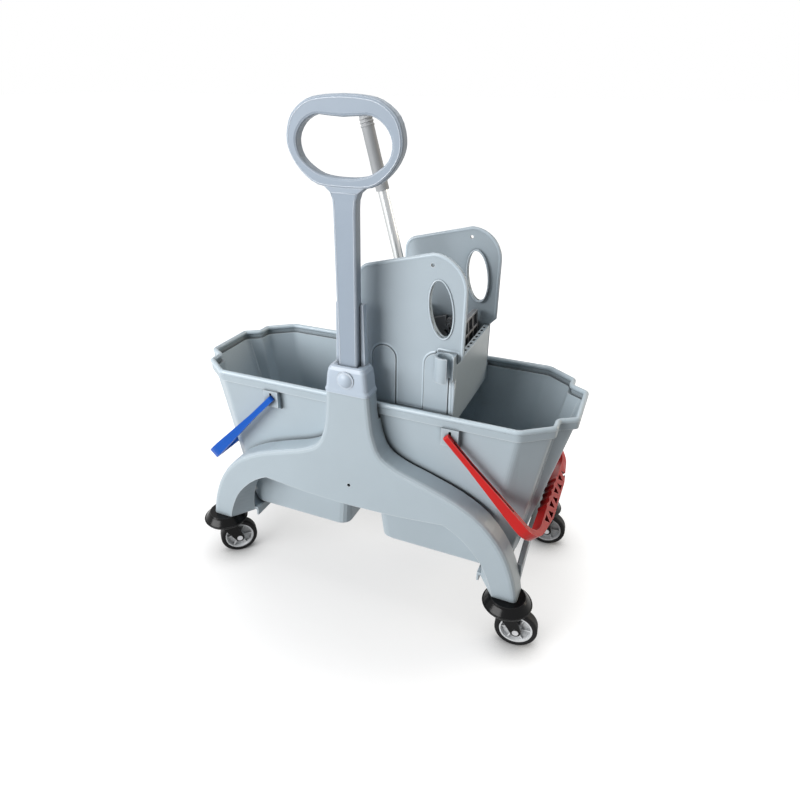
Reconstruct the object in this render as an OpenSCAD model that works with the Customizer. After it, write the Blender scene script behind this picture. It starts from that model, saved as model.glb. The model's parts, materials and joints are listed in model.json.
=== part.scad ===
// Double mop bucket trolley with a ring push handle and a geared two-jaw wringer.
// Millimetres. X runs along the trolley, the column stands on the -Y side, the floor is z = 0.

/* [Casters] */
// Wheel diameter
wheel_d = 80; // [70:1:90]
// Tread width
tread_w = 24; // [20:1:28]
// Half the caster spacing along the trolley
caster_x = 316; // [310:1:322]
// Half the caster spacing across the trolley
caster_y = 159; // [156:1:162]
// Trail of a wheel behind its swivel axis
caster_trail = 22; // [18:1:26]
// Bumper disc diameter
bumper_d = 90; // [80:1:100]
// Swivel stem diameter
stem_d = 11; // [10:0.5:12]
// Wheel axle diameter
axle_d = 8; // [6:0.5:10]
// Thickness of one fork arm
fork_t = 4; // [3:0.5:6]
// Height of the swivel crown
crown_h = 14; // [12:1:16]
// Heading of the front left caster
heading_front_left = 43; // [0:1:359]
// Heading of the front right caster
heading_front_right = 7; // [0:1:359]
// Heading of the rear left caster
heading_rear_left = 20; // [0:1:359]
// Heading of the rear right caster
heading_rear_right = 5; // [0:1:359]

/* [Chassis] */
// Distance from the middle plane to the outer face of each side panel
panel_face = 175; // [174:1:180]
// Depth of the front panel, which carries the column
front_depth = 43; // [41:0.5:45]
// Depth of the rear panel
rear_depth = 34; // [32:0.5:35]
// Wall of the hollow panels
panel_wall = 5; // [4:0.5:7]
// Rounding of the outer panel edges
panel_round = 9; // [6:0.5:11]
// Width of a leg at its foot
leg_w = 46; // [40:1:50]
// Height of the arch crown above the leg ends
arch_h = 132; // [125:1:140]
// Half span of the arch crown
arch_x = 188; // [175:1:200]
// Height of the panel shoulder above the leg ends
shoulder_h = 183; // [175:1:195]
// Half width of the handle column at its top
column_hw = 42; // [40:0.5:46]
// Height of the column shoulder above the leg ends
column_h = 358; // [352:1:370]
// Height of the bucket shelves above the leg ends
shelf_h = 7; // [6:0.5:9]
// Thickness of the arched end bars
bar_t = 11; // [8:0.5:13]

/* [Buckets] */
// Offset of the buckets and the wringer from the middle plane
bucket_y = 7; // [5:0.5:7.5]
// Height of a bucket from its foot to the rim
bucket_h = 325; // [318:1:332]
// Half width over the rim
rim_hw = 145; // [143:0.5:145.5]
// Height of the rim band
rim_h = 20; // [15:1:26]
// Overhang of the rim band over the wall
rim_lip = 6; // [5:0.5:7]
// Wall thickness of the buckets
bucket_wall = 3; // [2.5:0.25:3.5]
// Distance from the middle plane to the tip of the pouring spout
spout_x = 384; // [380:1:392]
// Half width of the spout tip
spout_hw = 57; // [50:1:64]
// Half width over the bucket base
base_hw = 118; // [112:1:120]
// Distance from the middle plane to the inner end of the base
base_in = 38; // [34:1:44]
// Distance from the middle plane to the outer end of the base
base_out = 303; // [296:1:305]

/* [Bails] */
// Distance of the bail pivots from the middle plane
bail_x = 182; // [176:1:188]
// Room between the spout tip and the inside of the grip when a bail is swung level
bail_room = 31; // [29:1:38]
// Bail angle below the horizontal at rest
bail_rest = 46; // [44:0.5:46.5]
// Diameter of the bail pegs
bail_peg_d = 8; // [7:0.5:9]
// Thickness of the grip
bail_grip_t = 22; // [18:0.5:24]

/* [Wringer] */
// Half width over the side plates
plate_hw = 113; // [110:0.5:115]
// Thickness of the side plates
plate_t = 6; // [5:0.5:7]
// Outer x of the chamber on the inner side
chamber_in = 17; // [16.5:0.25:18]
// Outer x of the chamber on the spout side
chamber_out = 175; // [172:1:178]
// Height of the top corner of the plates above the rim
plate_h = 272; // [262:1:280]
// Height of the jaw shafts above the rim
shaft_h = 79; // [76:1:82]
// x of the lever shaft
shaft_a_x = 43; // [42:0.5:44]
// x of the follower shaft
shaft_b_x = 141.5; // [140.5:0.5:142.5]
// Diameter of the jaw shafts
shaft_d = 12; // [10:0.5:14]
// Teeth on a full turn of each gear sector
gear_teeth = 24; // [22:2:26]
// Lean of the lever at rest
lever_lean = 15.3; // [12:0.1:18]
// Length of the lever from its shaft to the end of the grip
lever_len = 418; // [380:1:425]
// Lever tube diameter
lever_d = 19; // [17:0.5:21]
// Lever offset from the middle of the wringer
lever_y = 39; // [25:1:50]
// Inner diameter of the handle clip
clip_d = 26; // [22:0.5:28]

/* [Push handle] */
// Height of the top of the ring above the column shoulder
ring_h = 475; // [450:1:480]
// Half width of the ring
ring_hw = 96.5; // [88:0.5:104]
// Depth of the ring and stem
handle_t = 20; // [18:0.5:20.5]
// Half width of the stem at the column
stem_hw = 18; // [16:0.5:18.5]
// Diameter of the lock pin
lock_d = 10; // [8:0.5:12]

/* [Hidden] */
$fn = 64;

// Colours
grey = [0.62, 0.67, 0.71];
dark_grey = [0.33, 0.35, 0.37];
black = [0.08, 0.08, 0.09];
steel = [0.72, 0.73, 0.75];
pale = [0.78, 0.8, 0.82];
red = [0.86, 0.11, 0.12];
blue = [0.05, 0.36, 0.87];

// Clearances
run_gap = 0.08;   // radial gap of a turning fit
seat_gap = 0.2;   // gap of a seated face
side_gap = 0.5;   // gap beside a turning piece
cut = 1;          // overrun of a cutting body

// Caster levels
crown_r = 26;
crown_z = wheel_d + 2;
flange_t = 2.8;
flange_z = crown_z + crown_h + seat_gap;
bumper_core = 12;
leg_z = flange_z + flange_t + bumper_core;
stem_depth = 34;
casters = [
    [-caster_x, -caster_y, heading_front_left],
    [caster_x, -caster_y, heading_front_right],
    [-caster_x, caster_y, heading_rear_left],
    [caster_x, caster_y, heading_rear_right]
];

// Chassis levels
leg_out = caster_x + 19;
leg_in = leg_out - leg_w;
leg_flare = 32;
front_back_y = front_depth - panel_face;
rear_in_y = panel_face - rear_depth;
shelf_z = leg_z + shelf_h;
column_z = leg_z + column_h;
saddle_screw_z = leg_z + 166;
flange_top = leg_z + 54;
screw_r = 2.4;
screw_head_r = 4.5;
screw_head_h = 3;
beam_screw_in = 15;
saddle_screw_in = 18;
beam_screws = [[-34, 19], [-14, 40]];

// Bucket levels
rim_z = shelf_z + bucket_h;
ledge_z = rim_z - rim_h;
foot_h = 6;
base_z = shelf_z + foot_h;
rim_gap = 4;
bail_z = rim_z - 37;
ear_hw = 15.5;
ear_t = 4;
ear_face = rim_hw + 4.5;

// Wringer levels
chamber_wall = 4;
chamber_z = rim_z - 35;
wall_top_z = rim_z + 83;
shaft_z = rim_z + shaft_h;
apex_z = rim_z + plate_h;
plate_in = plate_hw - plate_t;
block_t = 4.5;
block_hw = 9;
block_drop = 60;
gear_w = 8;
gear_in = plate_in - 1 - gear_w;
jaw_hw = gear_in - 2;
pitch_r = (shaft_b_x - shaft_a_x) / 2;
gear_module = 2 * pitch_r / gear_teeth;
backlash = 0.35;
jaw_tilt = 5;
jaw_up = 36;
jaw_down = 78;
jaw_front = 3;
jaw_skin = 4;
jaw_back = 13;
socket_r = 14;
socket_hw = 15;
socket_len = 62;
tube_start = 18;
tube_wall = 2;
grip_len = 150;
grip_r = lever_d / 2 + 3;

// Handle levels
ring_top = column_z + ring_h;
stem_front = -166;
stem_back = stem_front + handle_t;
stem_foot_z = column_z - 69;
column_back = -141.5;
collar_back = -139.6;
collar_front = -178;
collar_top = column_z + 51;
spigot_h = 36;
spigot_hw = column_hw - 10;
lock_z = column_z + 28;

// Unit vector, inward normal, and the angle of a vector
function unit(v) = v / norm(v);
function left(v) = [-v.y, v.x];
function turn(v) = atan2(v.y, v.x);

// Points on an arc
function arc(c, r, a0, a1, n) = [
    for (i = [0:n])
        let (a = a0 + (a1 - a0) * i / n)
        c + r * [cos(a), sin(a)]
];

// Fillet of radius r at corner b, between a and c
function fillet(a, b, c, r, n) =
    let (u = unit(a - b), v = unit(c - b), half = acos(u * v) / 2)
    let (m = b + unit(u + v) * r / sin(half), d = r / tan(half))
    let (a0 = turn(b + u * d - m), sweep = (turn(b + v * d - m) - a0 + 540) % 360 - 180)
    arc(m, r, a0, a0 + sweep, n);

// Polygon with a radius at each corner, from a list of [x, y, r]
function flat2(p) = [p[0], p[1]];
function rounded(k, n = 5) = [
    for (i = [0:len(k) - 1])
        let (before = k[(i + len(k) - 1) % len(k)], after = k[(i + 1) % len(k)])
        each fillet(flat2(before), flat2(k[i]), flat2(after), k[i][2], n)
];

// Closed outline moved inwards by w, radii kept
function inset(k, w) = [
    for (i = [0:len(k) - 1])
        let (b = flat2(k[i]))
        let (m = left(unit(b - flat2(k[(i + len(k) - 1) % len(k)]))))
        let (n = left(unit(flat2(k[(i + 1) % len(k)]) - b)))
        concat(b + w * (m + n) / (1 + m * n), len(k[i]) > 2 ? [k[i][2]] : [])
];

// Smooth curve through hand-set knots
function knot(k, i) = k[max(0, min(len(k) - 1, i))];
function blend(a, b, c, d, t) =
    (2 * b + (c - a) * t + (2 * a - 5 * b + 4 * c - d) * t * t + (3 * b - a - 3 * c + d) * t * t * t) / 2;
function spline(k, n) = concat(
    [for (i = [0:len(k) - 2], j = [0:n - 1])
        blend(knot(k, i - 1), k[i], k[i + 1], knot(k, i + 2), j / n)],
    [k[len(k) - 1]]
);
function flip(pts) = [for (i = [len(pts) - 1:-1:0]) pts[i]];
function mirrored(pts) = [for (p = pts) [-p.x, p.y]];
function tail(pts) = [for (i = [1:len(pts) - 1]) pts[i]];

// Open curve moved to its left by w
function shifted(pts, w) = [
    for (i = [0:len(pts) - 1])
        pts[i] + w * left(unit(knot(pts, i + 1) - knot(pts, i - 1)))
];

// Solid through a list of rings, each ring counter-clockwise seen from the first one's side
module loft(rings) {
    n = len(rings[0]);
    last = (len(rings) - 1) * n;
    sides = [
        for (k = [0:len(rings) - 2], i = [0:n - 1], half = [0, 1])
            let (a = k * n + i, b = k * n + (i + 1) % n)
            half == 0 ? [a, b, b + n] : [a, b + n, a + n]
    ];
    polyhedron(
        points = [for (r = rings) each r],
        faces = concat([[0, for (i = [n - 1:-1:1]) i]], sides, [[for (i = [0:n - 1]) last + i]])
    );
}

// Ring of an XZ outline at one y, and of an XY outline at one z
function ring_y(pts, y) = [for (p = pts) [p.x, y, p.y]];
function ring_z(pts, z) = [for (p = pts) [p.x, p.y, z]];

// XZ profile swept along Y, YZ profile swept along X, and a rod along Y
module along_y(y0, y1) {
    translate([0, y1, 0]) rotate([90, 0, 0]) linear_extrude(y1 - y0) children();
}
module along_x(x0, x1) {
    translate([x0, 0, 0]) rotate([90, 0, 90]) linear_extrude(x1 - x0) children();
}
module rod(r, y0, y1) {
    translate([0, y1, 0]) rotate([90, 0, 0]) cylinder(r = r, h = y1 - y0);
}
module block(a, b) {
    translate(a) cube(b - a);
}
module both_sides() {
    children();
    mirror([0, 1, 0]) children();
}

// Side panels
leg_knots = [
    [leg_out, leg_z], [leg_out - 10, leg_z + 47], [leg_out - 33, leg_z + 102], [leg_out - 73, leg_z + 151],
    [210, leg_z + shoulder_h], [150, leg_z + shoulder_h + 22], [98, leg_z + shoulder_h + 39]
];
column_knots = [
    [column_hw + 24, leg_z + shoulder_h + 59], [column_hw + 10, leg_z + shoulder_h + 91],
    [column_hw + 4, leg_z + shoulder_h + 126], [column_hw, column_z]
];
hump_knots = [[50, leg_z + shoulder_h + 48], [0, leg_z + shoulder_h + 51]];
arch_knots = [
    [leg_in, leg_z], [leg_in - 8, leg_z + 29], [leg_in - 25, leg_z + 66], [leg_in - 49, leg_z + 96],
    [leg_in - 75, leg_z + 118], [arch_x, leg_z + arch_h]
];
bow_knots = [[arch_x, leg_z + arch_h], [arch_x / 2, leg_z + arch_h - 9], [0, leg_z + arch_h - 12]];

function leg_spread(p, t) = [p.x - leg_flare * t * (leg_z + arch_h - p.y) / arch_h, p.y];
function lower_half(t) = concat(
    [for (p = spline(arch_knots, 3)) leg_spread(p, t)],
    tail(spline(bow_knots, 3))
);
function upper_half(column, w) =
    let (pts = shifted(spline(concat(leg_knots, column ? column_knots : hump_knots), 3), w))
    let (kept = [for (p = pts) if (p.x > 1) [p.x, max(p.y, leg_z)]])
    let (last = kept[len(kept) - 1])
    column ? concat([for (i = [0:len(kept) - 2]) kept[i]], [[last.x, column_z]])
        : concat(kept, [[0, leg_z + shoulder_h + 51 - w]]);
function upper_outline(column, w) =
    let (up = upper_half(column, w))
    concat([[0, leg_z]], up, mirrored(column ? flip(up) : tail(flip(up))));

// Void below the arch at share t of the depth, its legs wider towards the buckets
function arch_void(t) =
    let (low = lower_half(t), foot = low[0].x)
    concat(low, mirrored(tail(flip(low))), [[-foot, leg_z - 20], [foot, leg_z - 20]]);

// Hollow panel with a rounded outer edge and its bores: share of the radius in depth and drawn in
edge_steps = [[0, 1], [0.14, 0.5], [0.5, 0.14], [1, 0]];
module panel_body(column, depth) {
    back = depth - panel_face;
    slope = cut / depth;
    difference() {
        loft(concat(
            [for (e = edge_steps)
                ring_y(upper_outline(column, panel_round * e[1]), panel_round * e[0] - panel_face)],
            [ring_y(upper_outline(column, 0), back)]
        ));
        loft([ring_y(arch_void(-slope), -panel_face - cut), ring_y(arch_void(1 + slope), back + cut)]);
        panel_pocket(depth);
        for (side = [-1, 1]) {
            translate([side * caster_x, -caster_y, leg_z - cut]) cylinder(d = stem_d, h = stem_depth + cut);
            for (s = beam_screws)
                translate([side * (caster_x + s[0]), 0, leg_z + s[1]])
                    rod(screw_r, back - beam_screw_in - cut, back + cut);
        }
        translate([0, 0, saddle_screw_z]) {
            rod(screw_r, -panel_face - cut, back + cut);
            rod(screw_head_r - 1, -panel_face - cut, back - saddle_screw_in);
        }
    }
}

// Hollow of a panel, open towards the buckets, in cells between ribs beside the screw boss
cell_edges = [12, 62, 66, 116, 120, 166, 170, 214];
roof = [[0, leg_z + shoulder_h + 39], [98, leg_z + shoulder_h + 39], [150, leg_z + shoulder_h + 22],
        [214, leg_z + shoulder_h - 4]];
module panel_pocket(depth) {
    low = leg_z + arch_h + panel_wall;
    for (side = [-1, 1], i = [0:2:len(cell_edges) - 2]) {
        x0 = cell_edges[i];
        x1 = cell_edges[i + 1];
        along_y(panel_wall - panel_face, depth - panel_face + cut) polygon([
            [side * x0, low], [side * x1, low],
            [side * x1, lookup(x1, roof) - 2 * panel_wall], [side * x0, lookup(x0, roof) - 2 * panel_wall]
        ]);
    }
}

module front_panel() {
    color(grey) difference() {
        union() {
            panel_body(true, front_depth);
            block([-spigot_hw, 4 - panel_face, column_z - cut],
                  [spigot_hw, column_back, column_z + spigot_h]);
        }
        block([-leg_out, column_back, ledge_z - 10], [leg_out, 0, column_z + spigot_h + cut]);
        block([-stem_hw - seat_gap, stem_front - seat_gap, stem_foot_z - seat_gap],
              [stem_hw + seat_gap, stem_back + seat_gap, column_z + spigot_h + cut]);
        translate([0, 0, lock_z]) rod(lock_d / 2, -panel_face, 0);
    }
}

module rear_panel() {
    color(grey) mirror([0, 1, 0]) panel_body(false, rear_depth);
}

// End beams: an arched bar and a bucket shelf between two end flanges
beam_out = leg_out - 4;
beam_flange = 5;
shelf_w = 52;
shelf_lap = 36;
shelf_out = base_out - 3;
shelf_in = shelf_out - shelf_w;
shelf_t = shelf_h - 1;
flange_in = shelf_out - shelf_lap;
bar_top = [
    [front_back_y, leg_z + 40], [-66, leg_z + 65], [0, leg_z + 72], [70, leg_z + 65],
    [rear_in_y, leg_z + 40]
];
bar_low = [
    [front_back_y, leg_z + 12], [-66, leg_z + 39], [0, leg_z + 46], [70, leg_z + 39],
    [rear_in_y, leg_z + 12]
];

module end_beam() {
    difference() {
        union() {
            along_x(beam_out - bar_t, beam_out)
                polygon(concat(spline(bar_low, 6), flip(spline(bar_top, 6))));
            block([shelf_in, front_back_y, shelf_z - shelf_t], [shelf_out, rear_in_y, shelf_z]);
            block([shelf_in, front_back_y, shelf_z - 20], [shelf_in + 5, rear_in_y, shelf_z]);
            for (y = [[front_back_y, front_back_y + beam_flange], [rear_in_y - beam_flange, rear_in_y]])
                block([flange_in, y[0], leg_z + 1], [beam_out, y[1], flange_top]);
        }
        for (s = beam_screws)
            translate([caster_x + s[0], 0, leg_z + s[1]]) rod(screw_r, front_back_y - cut, rear_in_y + cut);
    }
}
module end_beam_right() {
    color(grey) end_beam();
}
module end_beam_left() {
    color(grey) mirror([1, 0, 0]) end_beam();
}

// Centre saddle: a hollow wedge that carries the inner rims
saddle_low = leg_z + arch_h - 3;
saddle_top_hw = 8;
saddle_low_hw = 20;
saddle_wall = 3;
saddle_end = 20;

module saddle_profile(w) {
    polygon([
        [-saddle_low_hw + w, saddle_low], [saddle_low_hw - w, saddle_low],
        [saddle_top_hw - w, ledge_z - w], [-saddle_top_hw + w, ledge_z - w]
    ]);
}
module centre_saddle() {
    color(grey) difference() {
        along_y(front_back_y, rear_in_y) saddle_profile(0);
        along_y(front_back_y + saddle_end, rear_in_y - saddle_end) difference() {
            saddle_profile(saddle_wall);
            translate([-saddle_low_hw, saddle_low]) square([2 * saddle_low_hw, saddle_wall]);
        }
        block([-saddle_low_hw, column_back - cut, ledge_z - 10],
              [saddle_low_hw, front_back_y + 2, ledge_z + cut]);
        translate([0, 0, saddle_screw_z]) rod(screw_r, front_back_y - cut, rear_in_y + cut);
    }
}

// Screws of the chassis, along Y, with the head at the first end
module screw(head_y, tip_y) {
    s = sign(tip_y - head_y);
    rod(screw_r, min(head_y, tip_y), max(head_y, tip_y));
    rod(screw_head_r - 1.2, min(head_y, head_y - s * screw_head_h), max(head_y, head_y - s * screw_head_h));
}
module frame_screws() {
    color(steel) {
        translate([0, 0, saddle_screw_z]) {
            screw(front_back_y - saddle_screw_in, front_back_y + saddle_screw_in);
            screw(rear_in_y + saddle_screw_in, rear_in_y - saddle_screw_in);
        }
        for (side = [-1, 1], s = beam_screws)
            translate([side * (caster_x + s[0]), 0, leg_z + s[1]]) {
                screw(front_back_y + beam_flange, front_back_y - beam_screw_in);
                screw(rear_in_y - beam_flange, rear_in_y + beam_screw_in);
            }
    }
}

// Column collar with the split sleeve behind the stem
sleeve_hw = 28;
sleeve_top = collar_top + 109;
collar_rings = [
    // height, half width, front recess, corner radius
    [51, column_hw - 14, 8, 6], [49, column_hw - 9, 5, 8], [43, column_hw - 5, 2.5, 9],
    [31, column_hw - 3, 1, 9], [10, column_hw - 1, 0.5, 9], [5, column_hw + 1.5, 0, 9],
    [0, column_hw + 1, 0, 9]
];
function collar_ring(k) = ring_z(rounded([
    [-k[1], collar_front + k[2], k[3]], [k[1], collar_front + k[2], k[3]],
    [k[1], collar_back, 2], [-k[1], collar_back, 2]
], 4), column_z + k[0]);

module column_collar() {
    color(grey) difference() {
        union() {
            loft([for (k = collar_rings) collar_ring(k)]);
            translate([0, 0, lock_z]) rod(16, collar_front - 0.5, collar_front + 10);
            along_y(stem_back - 9, column_back) polygon([
                [-sleeve_hw, collar_top - 10], [sleeve_hw, collar_top - 10],
                [sleeve_hw - 3, sleeve_top], [-sleeve_hw + 3, sleeve_top]
            ]);
        }
        block([-stem_hw - 1.6, stem_front - seat_gap, column_z - cut],
              [stem_hw + 1.6, stem_back + seat_gap, sleeve_top + cut]);
        block([-spigot_hw - seat_gap, 4 - panel_face - seat_gap, column_z - cut],
              [spigot_hw + seat_gap, column_back + seat_gap, column_z + spigot_h + seat_gap]);
        translate([0, 0, lock_z]) rod(lock_d / 2, collar_front - cut, 0);
    }
}

// Push handle: a flat oval ring, thicker at the top, on a tapering stem
ring_mid = ring_top - 62;
outer_knots = [
    [0, ring_top - 132], [46, ring_top - 127], [ring_hw - 22, ring_top - 108],
    [ring_hw - 4, ring_mid - 20], [ring_hw, ring_mid + 5], [ring_hw - 10, ring_mid + 34],
    [ring_hw - 36, ring_mid + 54], [30, ring_top - 1.5], [0, ring_top]
];
hole_knots = [
    [0, ring_mid - 53], [22, ring_mid - 52], [46, ring_mid - 46], [ring_hw - 25, ring_mid - 27],
    [ring_hw - 18.5, ring_mid - 1], [ring_hw - 30, ring_mid + 21], [46, ring_mid + 33],
    [24, ring_mid + 32.5], [0, ring_mid + 31]
];
handle_round = 5;
// Rounding of one edge: share drawn in, share of the depth
handle_edge = [[1, 0], [0.35, 0.25], [0, 0.8]];

function loop(k) =
    let (half = spline(k, 3))
    concat(half, mirrored(tail(flip(tail(half)))));
function ring_section(a, b) =
    let (d = unit(b - a), w = norm(b - a))
    let (front = [for (e = handle_edge) [e[0], e[1]] * handle_round])
    let (inside = concat(front, [for (e = flip(front)) [e.x, handle_t - e.y]]))
    [for (p = concat(inside, [for (e = flip(inside)) [w - e.x, e.y]]))
        let (q = a + d * p.x)
        [q.x, stem_front + p.y, q.y]];
module oval_ring() {
    inner = loop(hole_knots);
    outer = loop(outer_knots);
    sections = [for (i = [0:len(inner) - 1]) ring_section(inner[i], outer[i])];
    n = len(sections);
    m = len(sections[0]);
    polyhedron(
        points = [for (r = sections) each r],
        faces = [
            for (k = [0:n - 1], i = [0:m - 1], half = [0, 1])
                let (j = (i + 1) % m, q = (k + 1) % n)
                half == 0 ? [k * m + i, k * m + j, q * m + j] : [k * m + i, q * m + j, q * m + i]
        ]
    );
}
stem_rings = [
    // height, half width, recess of both faces
    [ring_top - 123, stem_hw + 23, 2], [ring_top - 130, stem_hw + 16, 1],
    [ring_top - 137, stem_hw + 7, 0.3], [ring_top - 148, stem_hw + 3, 0.3],
    [ring_top - 162, stem_hw + 2, 0], [column_z, stem_hw, 0], [stem_foot_z, stem_hw, 0]
];
function stem_ring(k) = ring_z(rounded([
    [-k[1], stem_front + k[2], handle_round - 1], [k[1], stem_front + k[2], handle_round - 1],
    [k[1], stem_back - k[2], handle_round - 1], [-k[1], stem_back - k[2], handle_round - 1]
], 3), k[0]);
module push_handle() {
    color(grey) difference() {
        union() {
            oval_ring();
            loft([for (k = stem_rings) stem_ring(k)]);
        }
        translate([0, 0, lock_z]) rod(lock_d / 2, -panel_face, 0);
    }
}
module lock_pin() {
    color(grey) translate([0, collar_front - 0.5, lock_z]) rotate([-90, 0, 0]) {
        cylinder(d = lock_d, h = column_back - collar_front - 1.5);
        rotate_extrude() intersection() {
            translate([0, 15]) circle(r = 20.5);
            translate([0, -6]) square([14, 6]);
        }
    }
}

// Buckets, drawn about their own middle plane
rim_outline = [
    [rim_gap, -rim_hw, 15], [300, -rim_hw, 22], [354, 41 - rim_hw, 12], [354, -spout_hw - 19, 8],
    [spout_x, -spout_hw, 12], [spout_x, spout_hw, 12], [354, spout_hw + 19, 8], [354, rim_hw - 41, 12],
    [300, rim_hw, 22], [rim_gap, rim_hw, 15]
];
base_outline = [
    [base_in, -base_hw, 20], [base_out - 46, -base_hw, 22], [base_out - 5, 34 - base_hw, 12],
    [base_out - 5, -spout_hw - 5, 8], [base_out, -spout_hw + 11, 8], [base_out, spout_hw - 11, 8],
    [base_out - 5, spout_hw + 5, 8], [base_out - 5, base_hw - 34, 12], [base_out - 46, base_hw, 22],
    [base_in, base_hw, 20]
];

module bucket_tub(w, floor_z) {
    top_z = ledge_z + bucket_wall + (w > 0 ? cut : 0);
    loft([
        ring_z(rounded(inset(rim_outline, rim_lip + w), 4), top_z),
        ring_z(rounded(inset(base_outline, w), 4), floor_z)
    ]);
}
module bail_ear() {
    x0 = bail_x - ear_hw;
    difference() {
        along_x(x0, x0 + 2 * ear_hw) polygon([
            [-base_hw - 12, bail_z - 28], [-ear_face, bail_z - 16],
            [-ear_face, ledge_z], [-base_hw - 12, ledge_z]
        ]);
        along_x(x0 + 3, x0 + 2 * ear_hw - 3) polygon([
            [-base_hw - 8, bail_z - 22], [ear_t - ear_face, bail_z - 12], [ear_t - ear_face, ledge_z - 2],
            [-base_hw - 8, ledge_z - 2]
        ]);
        translate([bail_x, 0, bail_z]) rod(bail_peg_d / 2 + run_gap, -ear_face - cut, -base_hw);
        block([bail_x - 2.5, -ear_face - cut, bail_z], [bail_x + 2.5, -base_hw - 8, ledge_z - 4]);
    }
}
module bucket() {
    difference() {
        union() {
            translate([0, 0, ledge_z]) linear_extrude(rim_h) polygon(rounded(rim_outline, 4));
            bucket_tub(0, base_z);
            translate([0, 0, shelf_z]) linear_extrude(foot_h + cut) difference() {
                polygon(rounded(inset(base_outline, 6), 4));
                polygon(rounded(inset(base_outline, 9), 4));
            }
            both_sides() bail_ear();
        }
        translate([0, 0, ledge_z + bucket_wall])
            linear_extrude(rim_h) polygon(rounded(inset(rim_outline, bucket_wall), 4));
        bucket_tub(bucket_wall, base_z + bucket_wall);
    }
}
module bucket_right() {
    color(grey) translate([0, bucket_y, 0]) bucket();
}
module bucket_left() {
    color(grey) mirror([1, 0, 0]) translate([0, bucket_y, 0]) bucket();
}

// Bails, drawn flat with the arms along X from the pivot, then laid at the rest angle
bail_arm_w = 9;
bail_in = ear_face + side_gap;
bail_out = bail_in + bail_arm_w;
bail_reach = spout_x - bail_x + bail_room;
bail_tip = bail_reach + 22;
grip_pitch = 24;
arm_t = 11;

module bail_plan() {
    difference() {
        polygon(rounded([
            [-8, -bail_out, 4], [bail_reach + 6, -bail_out, 42], [bail_tip, -62, 60], [bail_tip, 62, 60],
            [bail_reach + 6, bail_out, 42], [-8, bail_out, 4]
        ], 7));
        difference() {
            polygon(rounded([
                [-20, -bail_in, 1], [bail_reach, -bail_in, 34], [bail_reach, bail_in, 34], [-20, bail_in, 1]
            ], 7));
            for (i = [-2:2]) translate([bail_reach + 9.5, i * grip_pitch]) circle(r = 12);
        }
        for (i = [-4:3]) translate([bail_reach + 4, (i + 0.5) * grip_pitch]) polygon(
            i % 2 == 0 ? [[0, -9], [13, 0], [0, 9]] : [[1, 0], [14, -9], [14, 9]]
        );
    }
}
module bail() {
    rotate([0, bail_rest, 0]) {
        difference() {
            intersection() {
                translate([0, 0, -bail_grip_t / 2]) linear_extrude(bail_grip_t) bail_plan();
                along_y(-bail_out - cut, bail_out + cut) polygon([
                    [-9, -arm_t / 2], [60, -arm_t / 2],
                    [190, -bail_grip_t / 2], [bail_tip + 1, -bail_grip_t / 2],
                    [bail_tip + 1, bail_grip_t / 2], [190, bail_grip_t / 2],
                    [60, arm_t / 2], [-9, arm_t / 2]
                ]);
            }
            both_sides() block([8, bail_in + 3, arm_t / 2 - 3], [170, bail_out - 2.5, bail_grip_t]);
        }
        both_sides() {
            rod(bail_peg_d / 2, bail_in - ear_t - 1.5, bail_in + 1);
            rod(bail_peg_d / 2 + 1.5, bail_in - ear_t - 3.4, bail_in - ear_t - 1);
        }
    }
}
module bail_red() {
    color(red) translate([bail_x, bucket_y, bail_z]) bail();
}
module bail_blue() {
    color(blue) mirror([1, 0, 0]) translate([bail_x, bucket_y, bail_z]) bail();
}

// Wringer body, drawn about the middle plane of the bucket
plate_right = chamber_out + 12;
plate_left = chamber_in - 25;
plate_arc = 60;
hole_at = [plate_right - 42.5, apex_z - 92.5];
boss_r = 22;
boss_t = 2.5;
shelf_lip = rim_hw - bucket_wall - side_gap;

function plate_outline() = concat(
    [[chamber_in, chamber_z], [chamber_out, chamber_z], [chamber_out, wall_top_z + 2],
     [plate_right, wall_top_z + 15]],
    arc([plate_right - plate_arc, apex_z - plate_arc], plate_arc, 0, 90, 14),
    arc([plate_left + 26, apex_z - 54], 26, 105, 180, 6),
    [[plate_left, rim_z + 7], [chamber_in, rim_z + 7]]
);
module plate_flat() {
    difference() {
        polygon(plate_outline());
        translate(hole_at) rotate(7.7) polygon([for (a = [0:9:351]) [20 * cos(a), 49.5 * sin(a)]]);
        translate([plate_right - 60, apex_z - 19]) circle(r = 3.2);
    }
}
module bearing_shape(r, drop) {
    for (x = [shaft_a_x, shaft_b_x]) {
        translate([x, shaft_z]) circle(r = r);
        translate([x - r, shaft_z - drop]) square([2 * r, drop]);
    }
}
module handle_clip() {
    r = clip_d / 2;
    translate([plate_right - 27, -plate_hw - boss_t - r - 1, wall_top_z - 21]) difference() {
        union() {
            cylinder(r = r + 4, h = 45);
            block([-r - 4, 0, 0], [r + 4, r + boss_t + 2, 45]);
        }
        translate([0, 0, -cut]) cylinder(r = r, h = 45 + 2 * cut);
        rotate(-35) block([0, -7, -cut], [2 * r, 7, 45 + cut]);
    }
}
module wringer_body() {
    color(grey) translate([0, bucket_y, 0]) {
        both_sides() difference() {
            union() {
                along_y(plate_in, plate_hw) plate_flat();
                along_y(plate_hw - cut, plate_hw + boss_t) bearing_shape(boss_r, shaft_z - ledge_z - 6);
                block([chamber_in + 4, plate_in, ledge_z + bucket_wall],
                      [chamber_out - 4, shelf_lip, ledge_z + bucket_wall + 6]);
            }
            along_y(plate_in - cut, plate_in + block_t) bearing_shape(block_hw, block_drop);
        }
        wringer_chamber();
        handle_clip();
    }
}
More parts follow.
